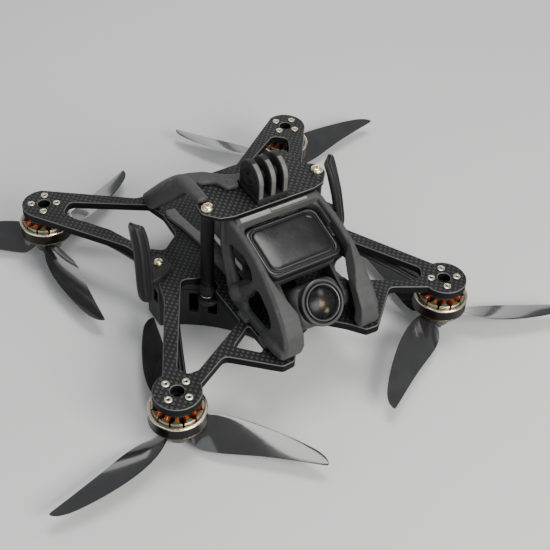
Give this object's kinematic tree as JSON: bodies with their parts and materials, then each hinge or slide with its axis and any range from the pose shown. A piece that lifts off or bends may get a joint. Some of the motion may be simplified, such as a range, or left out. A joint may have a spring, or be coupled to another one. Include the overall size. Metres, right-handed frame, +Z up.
{
  "type": "quadcopter drone",
  "caption": "Pusher quadcopter: carbon X frame, under-slung motors and propellers, tilting nose camera in a printed cage, rear brace, action-camera mount and belly electronics pod.",
  "frame": {"origin": "centre of the belly pod's flat underside, which the drone stands on, midway between the four motor axes", "axes": "-Y towards the nose and its camera, +X towards the drone's left, +Z up, along the propeller axes"},
  "size_m": [0.2668, 0.2378, 0.0905],
  "materials": {
    "carbon_twill": "satin woven carbon-fibre laminate, 2x2 twill",
    "printed_grey": "printed, fine layer lines, matte",
    "printed_black": "printed, matte",
    "antenna_sleeve": "soft sleeve, matte",
    "black_anodised": "black anodised, satin",
    "gold_steel": "gold plated, polished",
    "bronze_bell": "dark bronze anodised with polished rims",
    "copper_winding": "enamelled copper",
    "smoky_propeller": "smoky translucent, polished",
    "gloss_cover": "gloss black",
    "camera_shell": "satin dark grey",
    "lens_glass": "coated glass",
    "circuit_board": "solder mask",
    "wire_sleeve": "braided sleeve",
    "lead_plug": "yellow plastic",
    "pale_shell": "pale satin",
    "steel": "bright steel"
  },
  "bodies": {
    "airframe": {"action_camera_mount": "printed_black", "antenna_clip_left": "printed_black", "antenna_clip_right": "printed_black", "antenna_left": "antenna_sleeve", "antenna_right": "antenna_sleeve", "antenna_screw_left": "gold_steel", "antenna_screw_right": "gold_steel", "battery_lead": "wire_sleeve", "battery_rail_left": "printed_grey", "battery_rail_right": "printed_grey", "battery_socket": "lead_plug", "belly_pod": "printed_black", "camera_cage": "printed_grey", "camera_cover": "gloss_cover", "camera_housing": "camera_shell", "camera_ribbon": "wire_sleeve", "capacitor": "black_anodised", "flight_controller": "circuit_board", "main_plate": "carbon_twill", "motor_base_front_left": "black_anodised", "motor_base_front_right": "black_anodised", "motor_base_rear_left": "black_anodised", "motor_base_rear_right": "black_anodised", "motor_leads_front_left": "wire_sleeve", "motor_leads_front_right": "wire_sleeve", "motor_leads_rear_left": "wire_sleeve", "motor_leads_rear_right": "wire_sleeve", "motor_stator_front_left": "copper_winding", "motor_stator_front_right": "copper_winding", "motor_stator_rear_left": "copper_winding", "motor_stator_rear_right": "copper_winding", "rear_brace": "printed_grey", "speed_controller": "circuit_board", "stack_screw_1": "steel", "stack_screw_2": "steel", "stack_screw_3": "steel", "stack_screw_4": "steel", "standoff_left": "black_anodised", "standoff_right": "black_anodised", "tilt_motor": "black_anodised", "top_plate": "carbon_twill", "top_screw_left": "gold_steel", "top_screw_right": "gold_steel", "video_unit": "pale_shell"},
    "rotor_front_right": {"motor_bell_front_right": "bronze_bell", "propeller_front_right": "smoky_propeller", "prop_nut_front_right": "black_anodised"},
    "rotor_front_left": {"motor_bell_front_left": "bronze_bell", "propeller_front_left": "smoky_propeller", "prop_nut_front_left": "black_anodised"},
    "rotor_rear_right": {"motor_bell_rear_right": "bronze_bell", "propeller_rear_right": "smoky_propeller", "prop_nut_rear_right": "black_anodised"},
    "rotor_rear_left": {"motor_bell_rear_left": "bronze_bell", "propeller_rear_left": "smoky_propeller", "prop_nut_rear_left": "black_anodised"},
    "camera_eye": {"camera_head": "camera_shell", "lens_barrel": "black_anodised", "lens_glass": "lens_glass"},
    "link_button": {"link_button": "steel"}
  },
  "joints": [
    {"name": "spin_front_right", "type": "hinge", "parent": "airframe", "child": "rotor_front_right", "pos_m": [-0.0691, -0.0683, 0.008], "axis": [0, 0, 1], "continuous": true},
    {"name": "spin_front_left", "type": "hinge", "parent": "airframe", "child": "rotor_front_left", "pos_m": [0.0691, -0.0683, 0.008], "axis": [0, 0, 1], "continuous": true},
    {"name": "spin_rear_right", "type": "hinge", "parent": "airframe", "child": "rotor_rear_right", "pos_m": [-0.0691, 0.0683, 0.008], "axis": [0, 0, 1], "continuous": true},
    {"name": "spin_rear_left", "type": "hinge", "parent": "airframe", "child": "rotor_rear_left", "pos_m": [0.0691, 0.0683, 0.008], "axis": [0, 0, 1], "continuous": true},
    {"name": "camera_tilt", "type": "hinge", "parent": "airframe", "child": "camera_eye", "pos_m": [0, -0.0614, 0.0413], "axis": [1, 0, 0], "range_deg": [-18, 62]},
    {"name": "link_button_press", "type": "slide", "parent": "airframe", "child": "link_button", "axis": [0, -1, 0], "range_m": [0, 0.0003], "stiffness_N_per_m": 200}
  ]
}
